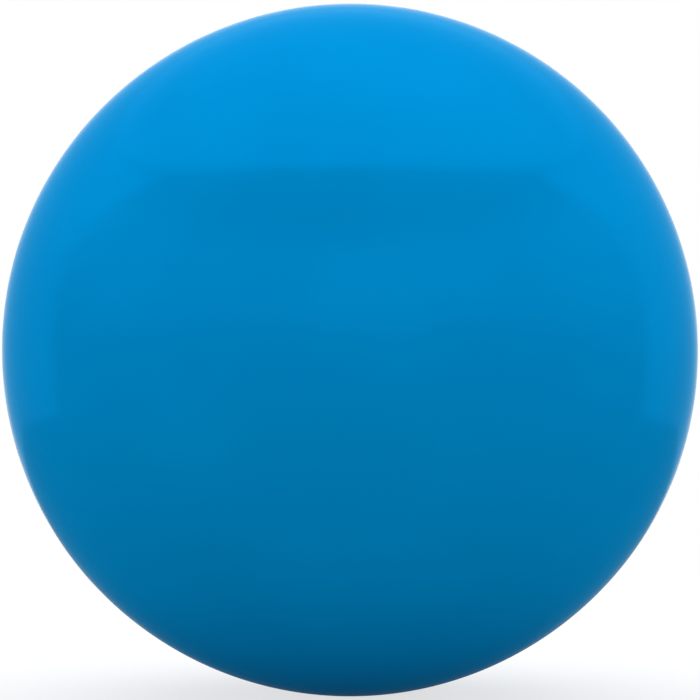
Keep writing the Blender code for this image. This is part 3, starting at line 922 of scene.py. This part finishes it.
def make_floor():
    """A pale floor that touches the ball from below and lights its underside a little."""
    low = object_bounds()[0].z
    side = np.linspace(-FLOOR_HALF_WIDTH, FLOOR_HALF_WIDTH, 3)
    x, y = np.meshgrid(side, side)
    points = np.column_stack([x.ravel(), y.ravel(), np.full(x.size, low)])
    i = np.array([0, 1, 3, 4])[:, None]
    mesh = bpy.data.meshes.new("floor")
    mesh.from_pydata(points.tolist(), [], (i + np.array([0, 1, 4, 3])).tolist())
    floor = bpy.data.objects.new("floor", mesh)
    bpy.context.scene.collection.objects.link(floor)
    material = bpy.data.materials.new("floor_paper")
    material.use_nodes = True
    tree = material.node_tree
    tree.nodes.clear()
    seen = tree.nodes.new("ShaderNodeBsdfDiffuse")
    seen.inputs["Color"].default_value = (*FLOOR_SEEN, 1)
    white = tree.nodes.new("ShaderNodeEmission")
    white.inputs["Color"].default_value = (1, 1, 1, 1)
    pale = tree.nodes.new("ShaderNodeMixShader")
    pale.inputs["Fac"].default_value = SHADOW_SHARE
    bounce = tree.nodes.new("ShaderNodeBsdfDiffuse")
    bounce.inputs["Color"].default_value = (*FLOOR_BOUNCE, 1)
    glow = tree.nodes.new("ShaderNodeEmission")
    glow.inputs["Color"].default_value = (*FLOOR_GLOW, 1)
    given = tree.nodes.new("ShaderNodeAddShader")
    rays = tree.nodes.new("ShaderNodeLightPath")
    choice = tree.nodes.new("ShaderNodeMixShader")
    result = tree.nodes.new("ShaderNodeOutputMaterial")
    tree.links.new(white.outputs[0], pale.inputs[1])
    tree.links.new(seen.outputs[0], pale.inputs[2])
    tree.links.new(bounce.outputs[0], given.inputs[0])
    tree.links.new(glow.outputs[0], given.inputs[1])
    tree.links.new(rays.outputs["Is Camera Ray"], choice.inputs["Fac"])
    tree.links.new(given.outputs[0], choice.inputs[1])
    tree.links.new(pale.outputs[0], choice.inputs[2])
    tree.links.new(choice.outputs[0], result.inputs["Surface"])
    mesh.materials.append(material)


def make_top_light():
    """A round soft light over the ball and behind its middle, which shines straight down."""
    light = bpy.data.lights.new("top_light", "AREA")
    light.shape = "DISK"
    radius = TOP_LIGHT_RADIUS * TOP_LIGHT_HEIGHT
    light.size = 2 * radius
    light.energy = TOP_LIGHT_RADIANCE * math.pi * math.pi * radius**2
    lamp = bpy.data.objects.new("top_light", light)
    lamp.location = (0, TOP_LIGHT_BACK * TOP_LIGHT_HEIGHT, TOP_LIGHT_HEIGHT)
    bpy.context.scene.collection.objects.link(lamp)


def past_top_light(tree, x, y, z):
    """0 for directions that meet the top light, 1 past its edge.

    A direction meets it where hypot(x, y - TOP_LIGHT_BACK z) is less than TOP_LIGHT_RADIUS z.
    """
    along = calculate(tree, "SUBTRACT", y, calculate(tree, "MULTIPLY", z, TOP_LIGHT_BACK))
    squares = [calculate(tree, "MULTIPLY", value, value) for value in (x, along)]
    off = calculate(tree, "SQRT", calculate(tree, "ADD", *squares), 0.0)
    edge = calculate(tree, "MULTIPLY", z, TOP_LIGHT_RADIUS)
    return span(tree, calculate(tree, "SUBTRACT", off, edge), *LIGHT_EDGE)


def make_world():
    """A pale room with bright walls and a bright backdrop. The camera itself sees white.

    What is mirrored of the backdrop is brighter. Its upper corners reach forward with height, and
    the top light's disc is left out of it.
    """
    world = bpy.data.worlds.new("studio")
    bpy.context.scene.world = world
    world.use_nodes = True
    tree = world.node_tree
    tree.nodes.clear()
    coordinates = tree.nodes.new("ShaderNodeTexCoord")
    split = tree.nodes.new("ShaderNodeSeparateXYZ")
    tree.links.new(coordinates.outputs["Generated"], split.inputs[0])
    wall = tinted(tree, span(tree, split.outputs["Z"], *WALL_RISE), ROOM_FOOT, ROOM_WALL)
    sides = tinted(tree, span(tree, split.outputs["Z"], *UPPER_RISE), wall, ROOM_UPPER)
    rays = tree.nodes.new("ShaderNodeLightPath")
    bright = tinted(tree, rays.outputs["Is Glossy Ray"], BACKDROP, BACKDROP_SHINE)
    backdrop = tinted(tree, span(tree, split.outputs["Z"], *BACKDROP_FOOT), ROOM_FOOT, bright)
    x, y, z = split.outputs
    leaning = span(tree, y, *BACKDROP_TURN)
    slanted = calculate(tree, "ADD", y, calculate(tree, "MULTIPLY", z, CORNER_SLANT))
    framed = calculate(tree, "MAXIMUM", leaning, span(tree, slanted, *CORNER_TURN))
    framed = calculate(tree, "MULTIPLY", framed, past_top_light(tree, x, y, z))
    glossy = rays.outputs["Is Glossy Ray"]
    mirrored = calculate(tree, "MULTIPLY", framed, glossy)
    lit = calculate(tree, "MULTIPLY", leaning, calculate(tree, "SUBTRACT", 1.0, glossy))
    color = tinted(tree, calculate(tree, "MAXIMUM", mirrored, lit), sides, backdrop)
    room = tree.nodes.new("ShaderNodeBackground")
    tree.links.new(color, room.inputs["Color"])
    white = tree.nodes.new("ShaderNodeBackground")
    white.inputs["Color"].default_value = (1, 1, 1, 1)
    choice = tree.nodes.new("ShaderNodeMixShader")
    result = tree.nodes.new("ShaderNodeOutputWorld")
    tree.links.new(rays.outputs["Is Camera Ray"], choice.inputs["Fac"])
    tree.links.new(room.outputs[0], choice.inputs[1])
    tree.links.new(white.outputs[0], choice.inputs[2])
    tree.links.new(choice.outputs[0], result.inputs["Surface"])


def make_camera():
    """A long lens level with the ball's centre, opposite the valve.

    The ball's outline is seen at asin(radius / distance) from the middle, and the lens makes its
    tangent FRAME_FILL of the half picture's.
    """
    outline = math.tan(math.asin(BALL_RADIUS / CAMERA_DISTANCE))
    data = bpy.data.cameras.new("camera")
    data.lens = data.sensor_width / 2 / (outline / FRAME_FILL)
    data.clip_start = 0.01
    camera = bpy.data.objects.new("camera", data)
    camera.location = (0, -CAMERA_DISTANCE, 0)
    camera.rotation_euler = (QUARTER, 0, 0)
    bpy.context.scene.collection.objects.link(camera)
    bpy.context.scene.camera = camera


def main():
    make_covers()
    make_joint_strip()
    make_bladder()
    make_patch()
    make_valve_body()
    make_core()
    make_plug()
    give_materials()
    make_floor()
    make_top_light()
    make_world()
    make_camera()
    bpy.context.scene.view_settings.view_transform = "Standard"


main()
